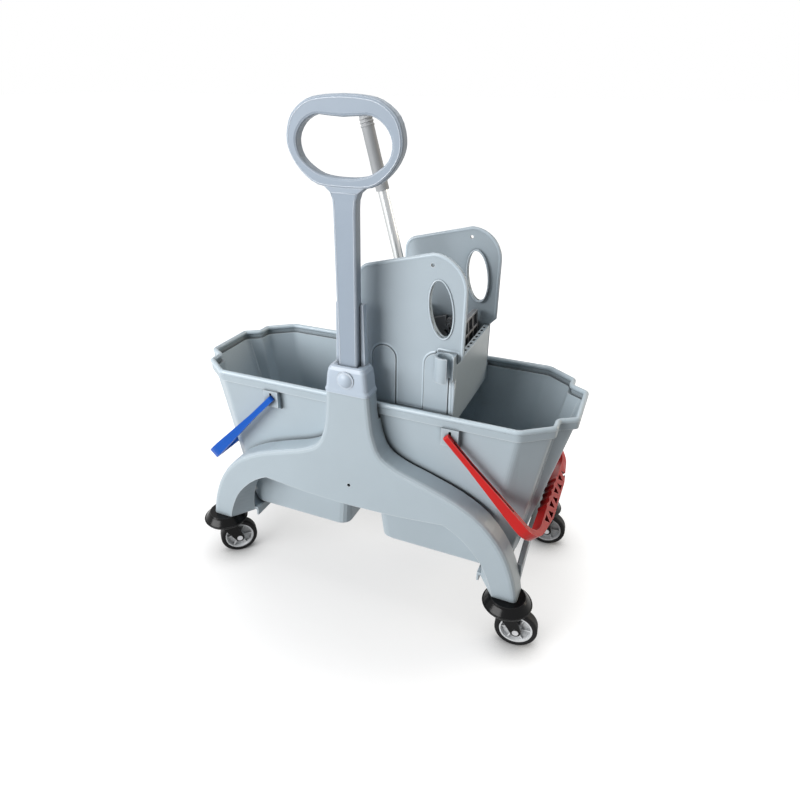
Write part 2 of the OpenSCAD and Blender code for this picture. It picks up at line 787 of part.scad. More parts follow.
module wringer_chamber() {
    flange_in_x = chamber_out - 11;
    end = plate_in + cut;
    difference() {
        union() {
            block([chamber_in, -end, chamber_z], [chamber_out, end, chamber_z + chamber_wall]);
            block([chamber_in, -end, chamber_z], [chamber_in + chamber_wall, end, wall_top_z]);
            block([chamber_out - chamber_wall, -end, chamber_z], [chamber_out, end, wall_top_z]);
            block([flange_in_x, -end, wall_top_z - 4], [chamber_out, end, wall_top_z]);
        }
        for (i = [0:7], y = [-78, 12])
            translate([chamber_in + 12 + i * 17, y, chamber_z - cut]) cube([7, 66, 10]);
        for (i = [-5:5])
            block([flange_in_x + 2, i * 18 - 4.5, wall_top_z - 5],
                  [chamber_out - chamber_wall, i * 18 + 4.5, wall_top_z + cut]);
        block([chamber_in - cut, lever_y - 20, shaft_z - 27],
              [chamber_in + chamber_wall + cut, lever_y + 20, wall_top_z + cut]);
    }
}
module bearing_blocks() {
    color(dark_grey) translate([0, bucket_y, 0]) both_sides()
        along_y(plate_in, plate_in + block_t) difference() {
            bearing_shape(block_hw, block_drop);
            for (x = [shaft_a_x, shaft_b_x]) translate([x, shaft_z]) circle(d = shaft_d + 2 * run_gap);
        }
}

// Shafts, jaws and gear sectors, each drawn about its shaft
module at_shaft(x) {
    translate([x, bucket_y, shaft_z]) children();
}
module shaft() {
    rod(shaft_d / 2, side_gap - plate_in - block_t, plate_in + block_t - side_gap);
}
module jaw_plate() {
    cells_y = 6;
    cells_z = 4;
    cell_y = (2 * jaw_hw - 4) / cells_y;
    cell_z = (jaw_up + jaw_down - 4) / cells_z;
    rotate([0, -jaw_tilt, 0]) difference() {
        union() {
            block([jaw_front, -jaw_hw, -jaw_down], [jaw_back, jaw_hw, jaw_up]);
            rod(shaft_d / 2 + 5, -jaw_hw, jaw_hw);
        }
        for (i = [0:cells_y - 1], j = [0:cells_z - 1])
            translate([jaw_front + jaw_skin, 4 - jaw_hw + i * cell_y, 4 - jaw_down + j * cell_z])
                cube([jaw_back, cell_y - 4, cell_z - 4]);
        for (i = [0:cells_y - 1], z = [-62, -34])
            block([0, 11 - jaw_hw + i * cell_y, z], [jaw_back, cell_y - 7 - jaw_hw + i * cell_y, z + 7]);
        rod(shaft_d / 2, -jaw_hw - cut, jaw_hw + cut);
    }
}
module lever_shaft() {
    color(steel) at_shaft(shaft_a_x) shaft();
}
module jaw_shaft() {
    color(steel) at_shaft(shaft_b_x) shaft();
}
module jaw_right() {
    color(dark_grey) at_shaft(shaft_b_x) jaw_plate();
}
module jaw_left() {
    color(dark_grey) at_shaft(shaft_a_x) difference() {
        mirror([1, 0, 0]) jaw_plate();
        block([-40, lever_y - socket_hw - side_gap, -18],
              [40, lever_y + socket_hw + side_gap, jaw_up + 20]);
    }
}

// Involute tooth about angle 0
function involute(a) = tan(a) * 180 / PI - a;
function flank(r) =
    let (base = pitch_r * cos(20))
    90 / gear_teeth + involute(20) - involute(r > base ? acos(base / r) : 0) - backlash / pitch_r * 90 / PI;
function polar(r, a) = [r * cos(a), r * sin(a)];
root_r = pitch_r - 1.2 * gear_module;
tip_r = pitch_r + 0.95 * gear_module;
tooth_radii = [for (i = [0:6]) root_r + (tip_r - root_r) * i / 6];
sector_from = -58;
sector_to = 18;

module gear_sector(phase) {
    step = 360 / gear_teeth;
    difference() {
        union() {
            circle(r = shaft_d / 2 + 7);
            polygon(concat([[0, 0]], arc([0, 0], root_r + 0.2, sector_from, sector_to, 16)));
            for (i = [-4:1]) if (i * step + phase > sector_from + 4 && i * step + phase < sector_to - 4)
                rotate(i * step + phase) polygon(concat(
                    [for (r = tooth_radii) polar(r, -flank(r))],
                    [for (r = flip(tooth_radii)) polar(r, flank(r))]
                ));
        }
        circle(d = shaft_d);
    }
}
module lever_gear_front() {
    color(dark_grey) at_shaft(shaft_a_x) along_y(-gear_in - gear_w, -gear_in) gear_sector(0);
}
module lever_gear_rear() {
    color(dark_grey) at_shaft(shaft_a_x) along_y(gear_in, gear_in + gear_w) gear_sector(0);
}
module jaw_gear_front() {
    color(dark_grey) at_shaft(shaft_b_x) mirror([1, 0, 0])
        along_y(-gear_in - gear_w, -gear_in) gear_sector(180 / gear_teeth);
}
module jaw_gear_rear() {
    color(dark_grey) at_shaft(shaft_b_x) mirror([1, 0, 0])
        along_y(gear_in, gear_in + gear_w) gear_sector(180 / gear_teeth);
}

// Lever: socket, tube and grip along the leaning axis
module along_lever() {
    at_shaft(shaft_a_x) translate([0, lever_y, 0]) rotate([0, -lever_lean, 0]) children();
}
module lever_socket() {
    color(dark_grey) along_lever() difference() {
        union() {
            rod(socket_r, -socket_hw, socket_hw);
            cylinder(r = socket_r, h = socket_len);
        }
        rod(shaft_d / 2, -socket_hw - cut, socket_hw + cut);
        translate([0, 0, tube_start]) cylinder(d = lever_d, h = socket_len);
    }
}
module lever_tube() {
    color(steel) along_lever() translate([0, 0, tube_start]) difference() {
        cylinder(d = lever_d, h = lever_len - tube_start - 6);
        translate([0, 0, -cut]) cylinder(r = lever_d / 2 - tube_wall, h = lever_len);
    }
}
module lever_grip() {
    color(grey) along_lever() difference() {
        translate([0, 0, lever_len - grip_len]) rotate_extrude() polygon(concat(
            [[0, 0], [grip_r - 0.6, 0], [grip_r, 1], [grip_r - 0.8, 60], [grip_r - 0.8, grip_len - 40]],
            [for (i = [0:2], p = [[0.6, 0], [0.6, 2], [-0.8, 3], [-0.8, 5]])
                [grip_r + p[0] - 0.3, grip_len - 38 + i * 6 + p[1]]],
            arc([grip_r - 6, grip_len - 6], 6, 0, 90, 5), [[0, grip_len]]
        ));
        cylinder(d = lever_d, h = lever_len - 6);
    }
}

// Casters
module at_caster(i) {
    translate([casters[i][0], casters[i][1], 0]) rotate(casters[i][2]) children();
}
module at_axle(i) {
    at_caster(i) translate([caster_trail, 0, wheel_d / 2]) children();
}
module caster_stems() {
    color(steel) for (i = [0:3]) at_caster(i) {
        translate([0, 0, crown_z + side_gap])
            cylinder(d = stem_d, h = leg_z + stem_depth - crown_z - side_gap);
        translate([0, 0, flange_z]) cylinder(r = 15, h = flange_t);
    }
}
module bumper(i) {
    r = bumper_d / 2;
    core = flange_z + flange_t;
    skirt = crown_z + 5;
    color(black) at_caster(i) rotate_extrude() polygon(concat(
        [[stem_d / 2, leg_z], [stem_d / 2, core], [crown_r + 4, core], [crown_r + 4, skirt]],
        arc([r - 6, skirt + 7], 6, -75, 40, 8), [[r - 9, leg_z - 3], [r - 12, leg_z]]
    ));
}
arm_in = tread_w / 2 + 1.5;
axle_end = arm_in + fork_t;
module fork(i) {
    color(black) at_caster(i) difference() {
        union() {
            translate([0, 0, crown_z]) cylinder(r = crown_r, h = crown_h);
            for (s = [[-axle_end, -arm_in], [arm_in, axle_end]]) along_y(s[0], s[1]) fork_arm();
        }
        translate([0, 0, crown_z - cut]) cylinder(r = stem_d / 2 + run_gap, h = crown_h + 2 * cut);
        translate([caster_trail, 0, wheel_d / 2]) rod(axle_d / 2, -axle_end - cut, axle_end + cut);
    }
}
module fork_arm() {
    translate([caster_trail, wheel_d / 2]) circle(r = axle_d / 2 + 6);
    polygon([
        [-17, crown_z + 4], [-15, crown_z - 4], [caster_trail - 9, wheel_d / 2 - 4],
        [caster_trail + 9, wheel_d / 2 + 4], [19, crown_z - 4], [18, crown_z + 4]
    ]);
}
module axle(i) {
    color(steel) at_axle(i) {
        rod(axle_d / 2, -axle_end, axle_end);
        rod(axle_d / 2 + 2, -axle_end - 1.8, -axle_end);
        rod(axle_d / 2 + 2, axle_end, axle_end + 1.8);
    }
}
tyre_in = wheel_d / 2 - 9;
rim_w = tread_w - 3;
module wheel(i) {
    boss = arm_in - side_gap;
    color(pale) at_axle(i) rotate([90, 0, 0]) difference() {
        union() {
            rotate_extrude() polygon([
                [0, -boss], [axle_d / 2 + 5, -boss], [axle_d / 2 + 7, -3], [tyre_in - 5, -3],
                [tyre_in - 3, -rim_w / 2], [tyre_in, -rim_w / 2], [tyre_in, rim_w / 2],
                [tyre_in - 3, rim_w / 2], [tyre_in - 5, 3], [axle_d / 2 + 7, 3],
                [axle_d / 2 + 5, boss], [0, boss]
            ]);
            for (a = [0:60:300]) rotate(a)
                block([axle_d / 2 + 4, -1.25, -rim_w / 2 + 3], [tyre_in - 2, 1.25, rim_w / 2 - 3]);
        }
        translate([0, 0, -boss - cut]) cylinder(r = axle_d / 2 + run_gap, h = 2 * boss + 2 * cut);
    }
}
module tyre(i) {
    h = tread_w / 2;
    r = wheel_d / 2;
    color(black) at_axle(i) rotate([90, 0, 0]) rotate_extrude() polygon(concat(
        [[tyre_in, -h + 1], [tyre_in + 2, -h]], arc([r - 5, 5 - h], 5, -70, 0, 5),
        arc([r - 5, h - 5], 5, 0, 70, 5), [[tyre_in + 2, h], [tyre_in, h - 1]]
    ));
}

front_panel();
rear_panel();
end_beam_left();
end_beam_right();
centre_saddle();
frame_screws();
column_collar();
push_handle();
lock_pin();
bucket_left();
bucket_right();
bail_blue();
bail_red();
wringer_body();
bearing_blocks();
lever_shaft();
jaw_left();
lever_gear_front();
lever_gear_rear();
lever_socket();
lever_tube();
lever_grip();
jaw_shaft();
jaw_right();
jaw_gear_front();
jaw_gear_rear();
caster_stems();
bumper(0);  // bumper_front_left
bumper(1);  // bumper_front_right
bumper(2);  // bumper_rear_left
bumper(3);  // bumper_rear_right
fork(0);  // fork_front_left
fork(1);  // fork_front_right
fork(2);  // fork_rear_left
fork(3);  // fork_rear_right
axle(0);  // axle_front_left
axle(1);  // axle_front_right
axle(2);  // axle_rear_left
axle(3);  // axle_rear_right
wheel(0);  // wheel_front_left
wheel(1);  // wheel_front_right
wheel(2);  // wheel_rear_left
wheel(3);  // wheel_rear_right
tyre(0);  // tyre_front_left
tyre(1);  // tyre_front_right
tyre(2);  // tyre_rear_left
tyre(3);  // tyre_rear_right
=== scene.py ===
"""Looks of the double mop bucket trolley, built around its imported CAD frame."""
import json
import math

import bmesh
import bpy
from mathutils import Matrix, Vector


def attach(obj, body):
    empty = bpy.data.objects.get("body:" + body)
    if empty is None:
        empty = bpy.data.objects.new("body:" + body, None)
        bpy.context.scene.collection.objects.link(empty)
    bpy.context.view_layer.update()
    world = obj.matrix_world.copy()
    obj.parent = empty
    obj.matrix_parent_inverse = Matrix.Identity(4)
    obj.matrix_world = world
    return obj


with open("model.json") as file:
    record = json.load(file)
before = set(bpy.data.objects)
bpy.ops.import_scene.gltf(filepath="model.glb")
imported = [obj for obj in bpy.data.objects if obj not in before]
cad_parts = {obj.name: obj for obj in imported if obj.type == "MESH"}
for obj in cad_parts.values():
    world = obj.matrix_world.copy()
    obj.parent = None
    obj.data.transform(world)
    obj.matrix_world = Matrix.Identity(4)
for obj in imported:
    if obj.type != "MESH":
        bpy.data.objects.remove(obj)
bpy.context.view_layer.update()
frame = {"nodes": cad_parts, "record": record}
NODES = frame["nodes"]

Y_AXIS, Z_AXIS = 1, 2
UP = Vector((0, 0, 1))
FRONT = Vector((0, -1, 0))

# Camera, fitted to the photograph (metres, degrees, pixels)
CAMERA_AZIMUTH = 23.38
CAMERA_ELEVATION = 26.63
CAMERA_ROLL = 0.25
CAMERA_TARGET = Vector((0.0, 0.0, 0.396))
CAMERA_DISTANCE = 1.259
FOCAL_PX = 619.0
IMAGE_PX = 800
CENTRE_PX = (385.9, 390.9)
SENSOR_MM = 36.0

# Materials
NOISE_RANGE = (0.3, 0.7)  # nearly all noise values lie between these
OCCLUSION_SAMPLES = 6
EDGE_SAMPLES = 4
MIX_FACTOR, MIX_A, MIX_B, MIX_RESULT = 0, 6, 7, 2  # sockets of a mix node for colours


class Nodes:
    """Short calls for building one node material."""

    def __init__(self, name):
        self.material = bpy.data.materials.new(name)
        self.material.use_nodes = True
        self.tree = self.material.node_tree
        self.tree.nodes.clear()
        self.out = self.add("OutputMaterial")
        self.shader = self.add("BsdfPrincipled")
        self.link(self.shader.outputs["BSDF"], self.out.inputs["Surface"])
        self.place = self.add("TexCoord").outputs["Object"]

    def add(self, kind, **inputs):
        node = self.tree.nodes.new("ShaderNode" + kind)
        fill(node, inputs)
        return node

    def link(self, a, b):
        self.tree.links.new(a, b)

    def set(self, **inputs):
        fill(self.shader, inputs)

    def noise(self, scale, detail=3.0, roughness=0.55, stretch=None):
        node = self.add("TexNoise", Scale=scale, Detail=detail, Roughness=roughness)
        place = self.place
        if stretch:
            mapping = self.add("Mapping", Scale=stretch)
            self.link(place, mapping.inputs["Vector"])
            place = mapping.outputs["Vector"]
        self.link(place, node.inputs["Vector"])
        return node.outputs["Fac"]

    def ramp(self, value, limits, colours):
        node = self.add("ValToRGB")
        for element, limit, colour in zip(node.color_ramp.elements, limits, colours):
            element.position = limit
            element.color = (*colour, 1.0)
        self.link(value, node.inputs["Fac"])
        return node.outputs["Color"]

    def span(self, noise, low, high):
        """Noise spread over a range of values."""
        start, end = NOISE_RANGE
        node = self.add("MapRange", From_Min=start, From_Max=end, To_Min=low, To_Max=high)
        self.link(noise, node.inputs["Value"])
        return node.outputs["Result"]

    def ease(self, value, limits, low, high):
        """A smooth step from low at the first limit to high at the second."""
        start, end = limits
        node = self.add("MapRange", From_Min=start, From_Max=end, To_Min=low, To_Max=high)
        node.interpolation_type = "SMOOTHSTEP"
        self.link(value, node.inputs["Value"])
        return node.outputs["Result"]

    def bump(self, height, strength, distance, under=None):
        node = self.add("Bump", Strength=strength, Distance=distance)
        self.link(height, node.inputs["Height"])
        if under is not None:
            self.link(under, node.inputs["Normal"])
        return node.outputs["Normal"]

    def mix(self, factor, tint, colour):
        node = self.add("Mix")
        node.data_type = "RGBA"
        self.link(factor, node.inputs[MIX_FACTOR])
        self.link(tint, node.inputs[MIX_A])
        node.inputs[MIX_B].default_value = (*colour, 1.0)
        return node.outputs[MIX_RESULT]

    def openness(self, depth):
        """1 in the open, less where surfaces meet or a gap is narrow."""
        node = self.add("AmbientOcclusion", Distance=depth)
        node.samples = OCCLUSION_SAMPLES
        return node.outputs["AO"]

    def flatness(self, radius):
        """1 on the flat, less where the surface turns within a radius."""
        bevel = self.add("Bevel", Radius=radius)
        bevel.samples = EDGE_SAMPLES
        here = self.add("NewGeometry")
        dot = self.add("VectorMath")
        dot.operation = "DOT_PRODUCT"
        self.link(bevel.outputs["Normal"], dot.inputs[0])
        self.link(here.outputs["Normal"], dot.inputs[1])
        return dot.outputs["Value"]


def fill(node, inputs):
    for socket, value in inputs.items():
        node.inputs[socket.replace("_", " ")].default_value = value


def shade(colour, gain):
    return tuple(min(1.0, c * gain) for c in colour)


DRIFT_SCALE, DRIFT_DETAIL = 9.0, 4.0
# painted highlight on edges
EDGE_HIGHLIGHT_RADIUS = 0.0022
EDGE_HIGHLIGHT_LIMITS = (0.995, 0.92)
EDGE_HIGHLIGHT_COLOUR = (0.9, 0.92, 0.94)
# painted shade in crevices and where parts meet
CREVICE_DEPTH = 0.014
CREVICE_LIMITS = (0.92, 0.4)
CREVICE_SHADE_GAIN = 0.12
GLOSS_SCALE, GLOSS_SPREAD = 38.0, 0.03
WAVE_SCALE, WAVE_STRENGTH, WAVE_DEPTH = 14.0, 0.04, 0.0015
GRAIN_SCALE, GRAIN_STRENGTH, GRAIN_DEPTH = 1400.0, 0.25, 0.00012
FINE_DETAIL = 2.0


def plastic(name, colour, rough, variation=0.025, sheen=0.5, edge_highlight=0.55, crevice_shade=0.8):
    """Moulded plastic: slow colour drift, a painted highlight on edges, painted shade in crevices,
    fine grain, wavy gloss.
    """
    n = Nodes(name)
    drift = n.noise(DRIFT_SCALE, DRIFT_DETAIL)
    tint = n.ramp(drift, NOISE_RANGE, (shade(colour, 1 - variation), shade(colour, 1 + variation)))
    # painted highlight: edges where the surface turns are mixed towards a pale colour
    edge_lit = n.ease(n.flatness(EDGE_HIGHLIGHT_RADIUS), EDGE_HIGHLIGHT_LIMITS, 0.0, edge_highlight)
    tint = n.mix(edge_lit, tint, EDGE_HIGHLIGHT_COLOUR)
    # painted shade: the colour darkens towards a dark copy where nearby surfaces close it in
    crevice_shaded = n.ease(n.openness(CREVICE_DEPTH), CREVICE_LIMITS, 0.0, crevice_shade)
    tint = n.mix(crevice_shaded, tint, shade(colour, CREVICE_SHADE_GAIN))
    n.link(tint, n.shader.inputs["Base Color"])
    gloss = n.span(n.noise(GLOSS_SCALE), rough - GLOSS_SPREAD, rough + GLOSS_SPREAD)
    n.link(gloss, n.shader.inputs["Roughness"])
    wave = n.bump(n.noise(WAVE_SCALE, FINE_DETAIL), WAVE_STRENGTH, WAVE_DEPTH)
    grain = n.bump(n.noise(GRAIN_SCALE, FINE_DETAIL), GRAIN_STRENGTH, GRAIN_DEPTH, wave)
    n.link(grain, n.shader.inputs["Normal"])
    n.set(Specular_IOR_Level=sheen)
    return n.material


STREAK_SCALE, STREAK_DETAIL, STREAK_ROUGHNESS = 60.0, 4.0, 0.6
STREAK_DARK, STREAK_LIGHT = 0.9, 1.05
STREAK_GLOSS = (-0.07, 0.09)
STREAK_STRENGTH, STREAK_DEPTH = 0.12, 0.0002


def metal(name, colour, rough, stretch):
    """Drawn or plated metal with streaks along its length."""
    n = Nodes(name)
    streak = n.noise(STREAK_SCALE, STREAK_DETAIL, STREAK_ROUGHNESS, stretch)
    shades = (shade(colour, STREAK_DARK), shade(colour, STREAK_LIGHT))
    n.link(n.ramp(streak, NOISE_RANGE, shades), n.shader.inputs["Base Color"])
    gloss = n.span(streak, *(rough + change for change in STREAK_GLOSS))
    n.link(gloss, n.shader.inputs["Roughness"])
    n.link(n.bump(streak, STREAK_STRENGTH, STREAK_DEPTH), n.shader.inputs["Normal"])
    n.set(Metallic=1.0)
    return n.material


DUST_SCALE, DUST_DETAIL = 30.0, 5.0
DUST_LIMITS = (0.35, 0.8)
DUST_GAIN = 2.2
RUBBER_ROUGHNESS = (0.5, 0.7)
RUBBER_SCALE, RUBBER_STRENGTH, RUBBER_DEPTH = 900.0, 0.3, 0.0002
RUBBER_SHEEN = 0.2


def rubber(name, colour):
    """Matt rubber with dust in a coarse grain."""
    n = Nodes(name)
    dust = n.noise(DUST_SCALE, DUST_DETAIL)
    shades = (colour, shade(colour, DUST_GAIN))
    n.link(n.ramp(dust, DUST_LIMITS, shades), n.shader.inputs["Base Color"])
    n.link(n.span(dust, *RUBBER_ROUGHNESS), n.shader.inputs["Roughness"])
    grain = n.bump(n.noise(RUBBER_SCALE, FINE_DETAIL), RUBBER_STRENGTH, RUBBER_DEPTH)
    n.link(grain, n.shader.inputs["Normal"])
    n.set(Specular_IOR_Level=RUBBER_SHEEN)
    return n.material


GREY = (0.43, 0.505, 0.555)
GREY_WRINGER = (0.43, 0.505, 0.56)
GREY_HANDLE = (0.335, 0.40, 0.48)
GREY_COLLAR = (0.475, 0.555, 0.65)
GREY_DARK = (0.22, 0.225, 0.24)
GREY_GRIP = (0.37, 0.385, 0.4)
STEEL = (0.62, 0.63, 0.65)
ALUMINIUM = (0.52, 0.535, 0.54)
RED = (0.58, 0.016, 0.015)
BLUE = (0.0015, 0.095, 0.5)
BLACK = (0.003, 0.0032, 0.0036)
TYRE_BLACK = (0.005, 0.005, 0.0055)
HUB_WHITE = (0.8, 0.82, 0.84)
EVEN, ALONG_TUBE = (1.0, 1.0, 1.0), (6.0, 6.0, 0.3)
# gains of the lighter copies that paint highlights on the mouldings and handle edges
MOULDING_HIGHLIGHT_GAIN, HANDLE_EDGE_HIGHLIGHT_GAIN = 1.25, 1.3
BAIL = {"variation": 0.06, "sheen": 0.2, "edge_highlight": 0.1}

looks = {
    "panel": plastic("panel_plastic", GREY, 0.42),
    "bucket": plastic("bucket_plastic", GREY, 0.40),
    "wringer": plastic("wringer_plastic", GREY_WRINGER, 0.42),
    "mech": plastic("dark_plastic", GREY_DARK, 0.45),
    "steel": metal("plated_steel", STEEL, 0.35, EVEN),
    "tube": metal("drawn_aluminium", ALUMINIUM, 0.38, ALONG_TUBE),
    "grip": plastic("grip_plastic", GREY_GRIP, 0.5),
    "red": plastic("red_plastic", RED, 0.34, **BAIL),
    "blue": plastic("blue_plastic", BLUE, 0.34, **BAIL),
    "black": plastic("black_plastic", BLACK, 0.2, variation=0.2, sheen=0.16, edge_highlight=0.03),
    "tyre": rubber("tyre_rubber", TYRE_BLACK),
    "hub": plastic("hub_plastic", HUB_WHITE, 0.35, crevice_shade=0.5),
}
# painted highlight: rims, plate borders, hole collars and handle edges use lighter copies of their
# plastic
rim_look = plastic("rim_plastic", shade(GREY, MOULDING_HIGHLIGHT_GAIN), 0.3)
border_look = plastic("border_plastic", shade(GREY_WRINGER, MOULDING_HIGHLIGHT_GAIN), 0.3)
edge_look = plastic("edge_plastic", shade(GREY_HANDLE, HANDLE_EDGE_HIGHLIGHT_GAIN), 0.18)
handle_look = plastic("handle_plastic", GREY_HANDLE, 0.42, sheen=0.3)
collar_look = plastic("collar_plastic", GREY_COLLAR, 0.36)
special = {"push_handle": handle_look, "column_collar": collar_look, "lock_pin": collar_look}
for entry in frame["record"]["subparts"]:
    mesh = NODES[entry["node"]].data
    mesh.materials.clear()
    mesh.materials.append(special.get(entry["node"], looks[entry["material_slot"]]))

# Rounded edges on the CAD pieces, by the width of the rounding
ROUNDING = {
    "front_panel": 0.0012, "rear_panel": 0.0012,
    "end_beam_left": 0.0015, "end_beam_right": 0.0015,
    "centre_saddle": 0.001, "column_collar": 0.0012,
    "bucket_left": 0.0007, "bucket_right": 0.0007,
    "bail_blue": 0.0016, "bail_red": 0.0016,
    "wringer_body": 0.001, "jaw_left": 0.0006, "jaw_right": 0.0006,
}
ROUNDING_SEGMENTS = 3
ROUNDING_ANGLE = math.radians(40)  # the least turn that is rounded
WELD = 0.00002
for name, width in ROUNDING.items():
    node = NODES[name]
    weld = node.modifiers.new("weld", "WELD")
    weld.merge_threshold = WELD
    bevel = node.modifiers.new("bevel", "BEVEL")
    bevel.width = width
    bevel.segments = ROUNDING_SEGMENTS
    bevel.limit_method = "ANGLE"
    bevel.angle_limit = ROUNDING_ANGLE
    bevel.use_clamp_overlap = True

# Mouldings that ride on the trolley: beads, plate borders and hole collars
FLAT_COSINE = 0.97
FLAT_TOLERANCE = 0.0004


def perimeter(path):
    return sum((b - a).length for a, b in zip(path, path[1:] + path[:1]))


def flat_loops(name, axis, sign, level):
    """Closed outlines of the faces of a node that lie flat at one level, longest first."""
    mesh = bmesh.new()
    mesh.from_mesh(NODES[name].data)
    bmesh.ops.remove_doubles(mesh, verts=mesh.verts, dist=WELD)
    place = NODES[name].matrix_world
    turn = place.to_3x3()
    flat = [f for f in mesh.faces if (turn @ f.normal)[axis] * sign > FLAT_COSINE
            and abs((place @ f.calc_center_median())[axis] - level) < FLAT_TOLERANCE]
    chosen = set(flat)
    ahead = {}
    for face in flat:
        for corner in face.loops:
            if sum(f in chosen for f in corner.edge.link_faces) == 1:
                ahead[corner.vert] = corner.link_loop_next.vert
    outlines = []
    while ahead:
        vert = next(iter(ahead))
        path = []
        while vert in ahead:
            path.append(place @ vert.co)
            vert = ahead.pop(vert)
        outlines.append(path)
    mesh.free()
    return sorted(outlines, key=perimeter, reverse=True)


def sideways(path, up):
    """Outward directions in the plane of a closed path."""
    after = path[1:] + path[:1]
    before = path[-1:] + path[:-1]
    area = sum((a.cross(b) for a, b in zip(path, after)), Vector())
    turn = up if area.dot(up) > 0 else -up
    return [(b - a).normalized().cross(turn) for a, b in zip(before, after)]


def sweep(name, path, up, section, look):
    """A closed moulding: section points are (outward, along up) offsets from the path."""
    out = sideways(path, up)
    count = len(section)
    verts = [p + o * a + up * b for p, o in zip(path, out) for a, b in section]
    faces = []
    for i in range(len(path)):
        j = (i + 1) % len(path)
        for k in range(count):
            m = (k + 1) % count
            faces.append((i * count + k, j * count + k, j * count + m, i * count + m))
    mesh = bpy.data.meshes.new(name)
    mesh.from_pydata(verts, [], faces)
    shape = bmesh.new()
    shape.from_mesh(mesh)
    bmesh.ops.recalc_face_normals(shape, faces=shape.faces)
    shape.to_mesh(mesh)
    shape.free()
    for face in mesh.polygons:
        face.use_smooth = True
    mesh.materials.append(look)
    piece = bpy.data.objects.new(name, mesh)
    bpy.context.scene.collection.objects.link(piece)
    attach(piece, "trolley")


def around(count):
    """Angles of points spaced evenly round a circle."""
    return [2 * math.pi * k / count for k in range(count)]


def round_section(radius, outward, along, sides=12):
    return [(outward + radius * math.cos(a), along + radius * math.sin(a)) for a in around(sides)]


RIM_RADIUS = 0.005
RIM_PROUD = 0.002
FOOT_RADIUS = 0.0018
rim_section = round_section(RIM_RADIUS, RIM_PROUD - RIM_RADIUS, RIM_PROUD - RIM_RADIUS)
foot_section = round_section(FOOT_RADIUS, 0.0, FOOT_RADIUS)
for side in ("left", "right"):
    bucket = "bucket_" + side
    heights = [(NODES[bucket].matrix_world @ v.co).z for v in NODES[bucket].data.vertices]
    rim = flat_loops(bucket, Z_AXIS, 1, max(heights))[0]
    sweep("rim_bead_" + side, rim, UP, rim_section, rim_look)
    foot = flat_loops(bucket, Z_AXIS, -1, min(heights))[0]
    sweep("foot_bead_" + side, foot, UP, foot_section, looks["bucket"])

BUMPER_POINTS = 64
BUMPER_BEAD = 0.0016
BUMPER_LIP = 0.0002  # points this near the widest reach belong to the lip
bumper_section = round_section(BUMPER_BEAD, 0.0, BUMPER_BEAD)
for corner in ("front_left", "front_right", "rear_left", "rear_right"):
    bumper = NODES["bumper_" + corner]
    points = [bumper.matrix_world @ v.co for v in bumper.data.vertices]
    x, y = ((max(p[i] for p in points) + min(p[i] for p in points)) / 2 for i in (0, 1))
    reach = [math.hypot(p.x - x, p.y - y) for p in points]
    widest = max(reach)
    z = min(p.z for p, r in zip(points, reach) if r > widest - BUMPER_LIP)
    ring = [Vector((x + widest * math.cos(a), y + widest * math.sin(a), z))
            for a in around(BUMPER_POINTS)]
    sweep("bumper_bead_" + corner, ring, UP, bumper_section, looks["black"])

HANDLE_FACE = -0.166
HANDLE_EDGE = 0.0009
HANDLE_SIDES = 8
handle_section = round_section(HANDLE_EDGE, 0.0, -HANDLE_EDGE / 2, HANDLE_SIDES)
handle_paths = flat_loops("push_handle", Y_AXIS, -1, HANDLE_FACE)
for place, path in zip(("outer", "inner"), handle_paths):
    sweep("handle_edge_" + place, path, FRONT, handle_section, edge_look)

PLATES = {"front": (-0.106, -1), "rear": (0.12, 1)}  # outer face and the way that it looks
BORDER_RADIUS = 0.0038
BORDER_INSET, BORDER_SUNK = 0.0029, 0.003
COLLAR_WALL = 0.0025
COLLAR_IN, COLLAR_OUT = 0.012, 0.0015
HOLE_LOWEST = 0.56  # only the hand hole and the small hole lie wholly above this
border_section = round_section(BORDER_RADIUS, -BORDER_INSET, -BORDER_SUNK)
collar_section = [(0.0, COLLAR_OUT), (COLLAR_WALL, COLLAR_OUT),
                  (COLLAR_WALL, -COLLAR_IN), (0.0, -COLLAR_IN)]
for side, (face_y, sign) in PLATES.items():
    outlines = flat_loops("wringer_body", Y_AXIS, sign, face_y)
    outward = Vector((0, sign, 0))
    sweep("plate_border_" + side, outlines[0], outward, border_section, border_look)
    hole = next(path for path in outlines if min(p.z for p in path) > HOLE_LOWEST)
    sweep("hole_collar_" + side, hole, outward, collar_section, border_look)

# Floor: pale paint whose backdrop glow fades under the trolley and at the wheels, a painted shadow
# of the trolley and painted contact shadows at the wheels
FLOOR_SIZE = 80.0
FLOOR_SCALE = 3.0
FLOOR_SHADES = ((0.395, 0.395, 0.395), (0.405, 0.405, 0.405))
FLOOR_ROUGHNESS = 0.9
GLOW_NEAR, GLOW_FAR = 0.58, 1.0
GLOW_RADII = (0.26, 0.66)
CONTACT_REACH = 0.07
CONTACT_LIMITS = (0.35, 1.0)
CONTACT_LEAST = 0.1
scene = bpy.context.scene


def stage_plane(name, size):
    half = size / 2
    corners = [(-half, -half, 0.0), (half, -half, 0.0), (half, half, 0.0), (-half, half, 0.0)]
    mesh = bpy.data.meshes.new(name)
    mesh.from_pydata(corners, [], [(0, 1, 2, 3)])
    plane = bpy.data.objects.new(name, mesh)
    scene.collection.objects.link(plane)
    return plane


def background_rays(tree):
    """1 for rays that see the backdrop directly, in a reflection or through glass."""
    path = tree.nodes.new("ShaderNodeLightPath")
    total = path.outputs["Is Camera Ray"]
    for name in ("Is Glossy Ray", "Is Transmission Ray"):
        larger = tree.nodes.new("ShaderNodeMath")
        larger.operation = "MAXIMUM"
        tree.links.new(total, larger.inputs[0])
        tree.links.new(path.outputs[name], larger.inputs[1])
        total = larger.outputs["Value"]
    return total


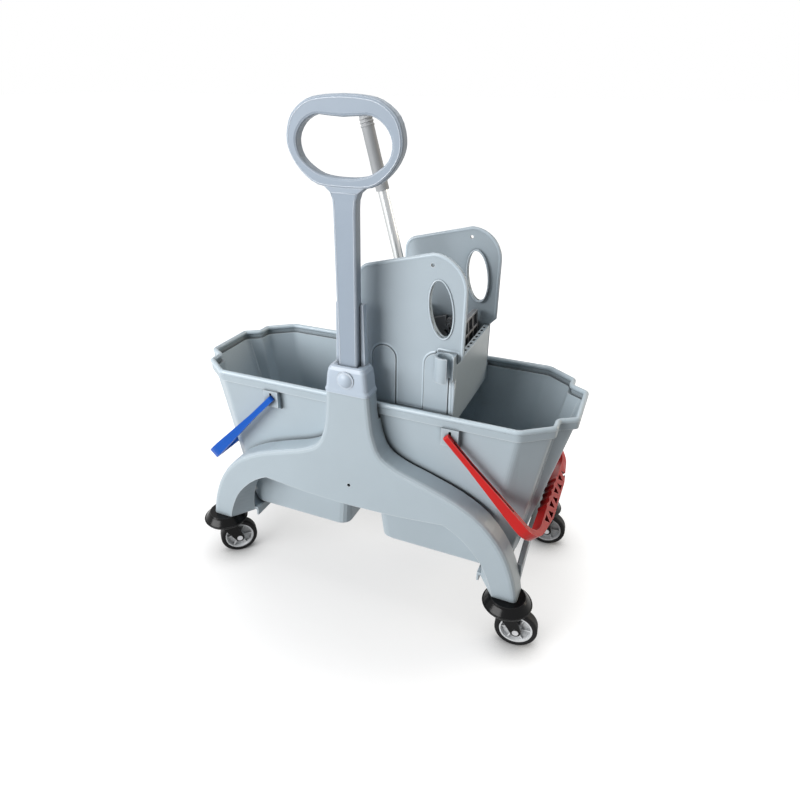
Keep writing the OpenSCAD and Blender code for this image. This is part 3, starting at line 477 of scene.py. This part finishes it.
floor = stage_plane("floor", FLOOR_SIZE)
paint = Nodes("floor_paint")
paint.link(paint.ramp(paint.noise(FLOOR_SCALE), NOISE_RANGE, FLOOR_SHADES),
           paint.shader.inputs["Base Color"])
paint.set(Roughness=FLOOR_ROUGHNESS)
glow = paint.add("Emission")
radius = paint.add("VectorMath")
radius.operation = "LENGTH"
paint.link(paint.place, radius.inputs[0])
# painted shadow: the glow is dimmer near the middle, under the trolley, than far out
trolley_shadow = paint.ease(radius.outputs["Value"], GLOW_RADII, GLOW_NEAR, GLOW_FAR)
# painted contact shadow: the glow is dimmer where the floor is closed in, at the wheels
contact_shadow = paint.ease(paint.openness(CONTACT_REACH), CONTACT_LIMITS, CONTACT_LEAST, 1.0)
level = background_rays(paint.tree)
for part in (trolley_shadow, contact_shadow):
    product = paint.add("Math")
    product.operation = "MULTIPLY"
    paint.link(level, product.inputs[0])
    paint.link(part, product.inputs[1])
    level = product.outputs["Value"]
paint.link(level, glow.inputs["Strength"])
both = paint.add("AddShader")
paint.link(paint.shader.outputs["BSDF"], both.inputs[0])
paint.link(glow.outputs["Emission"], both.inputs[1])
paint.link(both.outputs["Shader"], paint.out.inputs["Surface"])
floor.data.materials.append(paint.material)

# Studio: a white backdrop that lights little, and four softboxes
AMBIENT = 0.1
scene.view_settings.view_transform = "Standard"
world = bpy.data.worlds.new("studio")
scene.world = world
world.use_nodes = True
sky = world.node_tree.nodes["Background"]
sky.inputs["Color"].default_value = (1.0, 1.0, 1.0, 1.0)
strength = world.node_tree.nodes.new("ShaderNodeMapRange")
fill(strength, {"To Min": AMBIENT, "To Max": 1.0})
world.node_tree.links.new(background_rays(world.node_tree), strength.inputs["Value"])
world.node_tree.links.new(strength.outputs["Result"], sky.inputs["Strength"])

WHITE, WARM = (1.0, 1.0, 1.0), (1.0, 0.88, 0.7)
LIGHTS = (  # name, place, target, width and height, watts, colour
    ("key", (-1.75, -2.85, 1.5), (0, 0, 0.3), (2.8, 1.4), 128, WHITE),
    ("top", (0.0, 0.0, 3.0), (0, 0, 0.3), (1.4, 1.2), 22, WHITE),
    ("back", (0.5, 2.6, 2.3), (0, 0, 0.4), (2.6, 0.5), 9, WHITE),
    ("warm", (2.1, 1.4, 1.0), (0, 0, 0.45), (0.9, 0.9), 17, WARM),
)
for name, place, target, size, watts, colour in LIGHTS:
    lamp = bpy.data.lights.new(name, "AREA")
    lamp.shape = "RECTANGLE"
    lamp.size, lamp.size_y = size
    lamp.energy = watts
    lamp.color = colour
    softbox = bpy.data.objects.new(name, lamp)
    softbox.location = place
    aim = Vector(target) - Vector(place)
    softbox.rotation_euler = aim.to_track_quat("-Z", "Y").to_euler()
    scene.collection.objects.link(softbox)

cam = bpy.data.objects.new("camera", bpy.data.cameras.new("camera"))
scene.collection.objects.link(cam)
scene.camera = cam
azimuth, elevation = math.radians(CAMERA_AZIMUTH), math.radians(CAMERA_ELEVATION)
back = Vector((math.sin(azimuth) * math.cos(elevation),
               -math.cos(azimuth) * math.cos(elevation),
               math.sin(elevation)))
roll = Matrix.Rotation(math.radians(CAMERA_ROLL), 4, "Z").to_quaternion()
cam.location = CAMERA_TARGET + back * CAMERA_DISTANCE
cam.rotation_mode = "QUATERNION"
cam.rotation_quaternion = (-back).to_track_quat("-Z", "Y") @ roll
cam.data.sensor_width = SENSOR_MM
cam.data.lens = FOCAL_PX / IMAGE_PX * SENSOR_MM
cam.data.shift_x = (IMAGE_PX / 2 - CENTRE_PX[0]) / IMAGE_PX
cam.data.shift_y = (CENTRE_PX[1] - IMAGE_PX / 2) / IMAGE_PX
